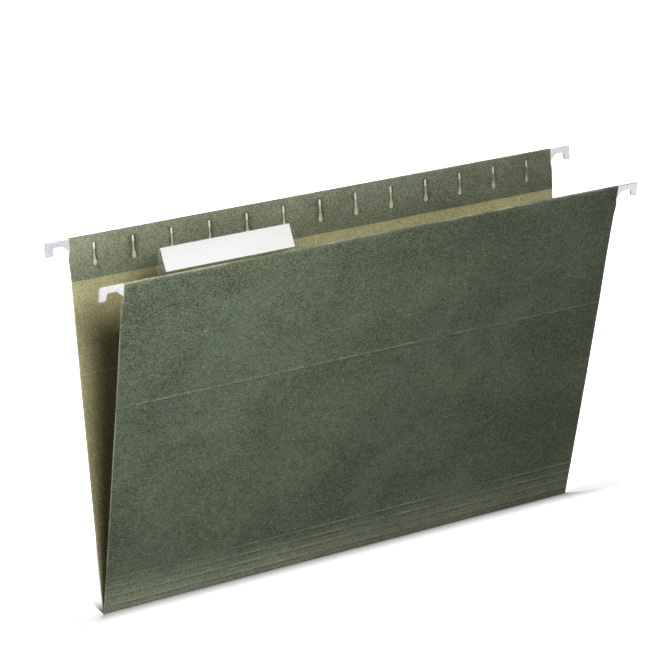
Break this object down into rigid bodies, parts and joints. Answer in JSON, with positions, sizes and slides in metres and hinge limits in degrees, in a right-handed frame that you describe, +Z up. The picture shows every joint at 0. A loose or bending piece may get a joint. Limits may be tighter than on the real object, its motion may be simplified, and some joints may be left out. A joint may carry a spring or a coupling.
{
  "type": "hanging file folder",
  "caption": "Legal-size hanging file folder in green stock, open in a V, with slotted hems, coated hook tips and a clear tab with a blank insert.",
  "frame": {"origin": "under the middle of the bottom fold, on the surface that the fold rests on", "axes": "+Z up, +X along the folder towards its right-hand hooks, the front leaf with the tab towards -Y"},
  "size_m": [0.4064, 0.0856, 0.2721],
  "materials": {
    "folder_stock": "matte",
    "painted_steel": "satin",
    "white_coat": "satin",
    "clear_vinyl": "gloss",
    "insert_paper": "matte",
    "dried_glue": "matte"
  },
  "bodies": {
    "bottom": {"bottom_fold": "folder_stock"},
    "front_gusset_strips": {"front_keel_strip": "folder_stock", "front_gusset": "folder_stock"},
    "front_lower": {"front_lower_panel": "folder_stock"},
    "front_upper": {"front_upper_panel": "folder_stock", "front_hem": "folder_stock", "front_hem_glue": "dried_glue", "front_rod": "painted_steel", "front_left_tip": "white_coat", "front_right_tip": "white_coat", "tab_window": "clear_vinyl"},
    "back_gusset_strips": {"back_keel_strip": "folder_stock", "back_gusset": "folder_stock"},
    "back_lower": {"back_lower_panel": "folder_stock"},
    "back_upper": {"back_upper_panel": "folder_stock", "back_hem": "folder_stock", "back_hem_glue": "dried_glue", "back_rod": "painted_steel", "back_left_tip": "white_coat", "back_right_tip": "white_coat"},
    "tab_leg": {"tab_back_leg": "clear_vinyl"},
    "insert": {"tab_insert": "insert_paper"}
  },
  "joints": [
    {"name": "front_swing", "type": "hinge", "parent": "bottom", "child": "front_gusset_strips", "pos_m": [0, 0, 0.00028], "axis": [-1, 0, 0], "range_deg": [-79.6, 7]},
    {"name": "front_gusset_fold", "type": "hinge", "parent": "front_gusset_strips", "child": "front_lower", "pos_m": [0, -0.0053, 0.02839], "axis": [1, 0, 0], "range_deg": [-10, 80]},
    {"name": "front_mid_fold", "type": "hinge", "parent": "front_lower", "child": "front_upper", "pos_m": [0, -0.02783, 0.16509], "axis": [1, 0, 0], "range_deg": [0, 175]},
    {"name": "back_swing", "type": "hinge", "parent": "bottom", "child": "back_gusset_strips", "pos_m": [0, 0, 0.00028], "axis": [1, 0, 0], "range_deg": [-79.6, 7]},
    {"name": "back_gusset_fold", "type": "hinge", "parent": "back_gusset_strips", "child": "back_lower", "pos_m": [0, 0.0053, 0.02839], "axis": [-1, 0, 0], "range_deg": [-10, 80]},
    {"name": "back_mid_fold", "type": "hinge", "parent": "back_lower", "child": "back_upper", "pos_m": [0, 0.02783, 0.16509], "axis": [-1, 0, 0], "range_deg": [0, 175]},
    {"name": "tab_fold", "type": "hinge", "parent": "front_upper", "child": "tab_leg", "pos_m": [-0.11055, -0.03122, 0.27157], "axis": [-1, 0, 0], "range_deg": [-15, 30]},
    {"name": "insert_slide", "type": "slide", "parent": "front_upper", "child": "insert", "axis": [1, 0, 0], "range_m": [0, 0.09]}
  ]
}
